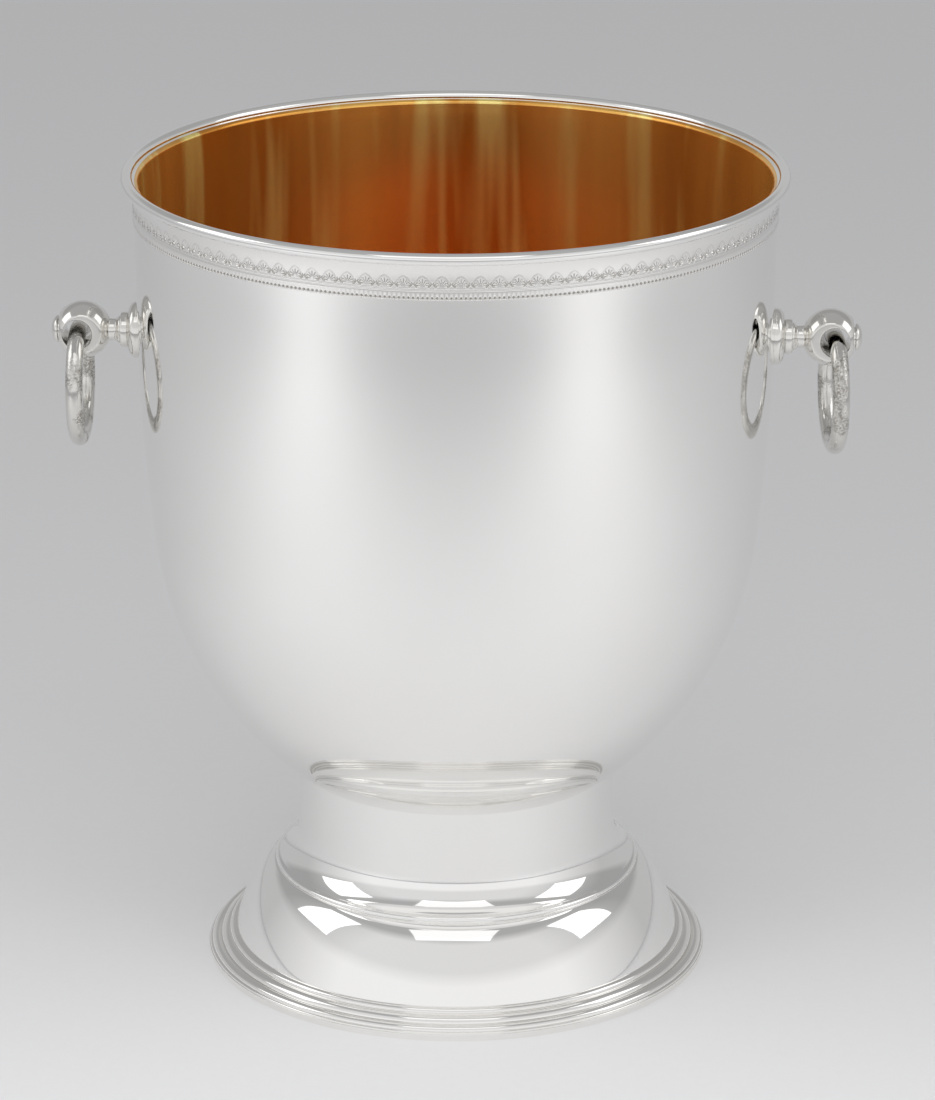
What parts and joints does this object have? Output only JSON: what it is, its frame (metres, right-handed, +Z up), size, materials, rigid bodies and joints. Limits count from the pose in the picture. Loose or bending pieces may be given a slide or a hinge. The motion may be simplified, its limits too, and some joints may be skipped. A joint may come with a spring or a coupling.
{
  "type": "footed champagne bucket",
  "caption": "Footed silver wine cooler: a round-bottomed gilt-lined bowl on a spun pedestal, with a palmette rim band and loose rings hanging from ball handles.",
  "frame": {"origin": "on the table, on the axis of the bowl", "axes": "+Z up along the bowl's axis; the two handles stand on the X axis"},
  "size_m": [0.2448, 0.2, 0.25],
  "materials": {
    "silver_sheet": "polished silver, spun and burnished",
    "gilding": "polished gilt with fine spinning lines",
    "chased_silver": "silver with dark oxide in its chased pattern",
    "moulded_silver": "polished silver, slightly tarnished in its grooves",
    "cast_silver": "polished cast silver, worn on its edges",
    "ring_silver": "cast silver, lightly pitted and tarnished"
  },
  "bodies": {
    "bucket": {"bowl": "silver_sheet", "gilt_lining": "gilding", "rim_wire": "silver_sheet", "palmette_band": "chased_silver", "pedestal_foot": "silver_sheet", "foot_moulding": "moulded_silver", "left_collar": "cast_silver", "left_knob": "cast_silver", "left_button": "cast_silver", "right_collar": "cast_silver", "right_knob": "cast_silver", "right_button": "cast_silver"},
    "left_ring": {"left_ring": "ring_silver"},
    "right_ring": {"right_ring": "ring_silver"}
  },
  "joints": [
    {"name": "left_ring_swing", "type": "hinge", "parent": "bucket", "child": "left_ring", "pos_m": [-0.1142, 0, 0.1985], "axis": [0, 1, 0], "range_deg": [-26, 205]},
    {"name": "right_ring_swing", "type": "hinge", "parent": "bucket", "child": "right_ring", "pos_m": [0.1142, 0, 0.1985], "axis": [0, -1, 0], "range_deg": [-26, 205]}
  ]
}
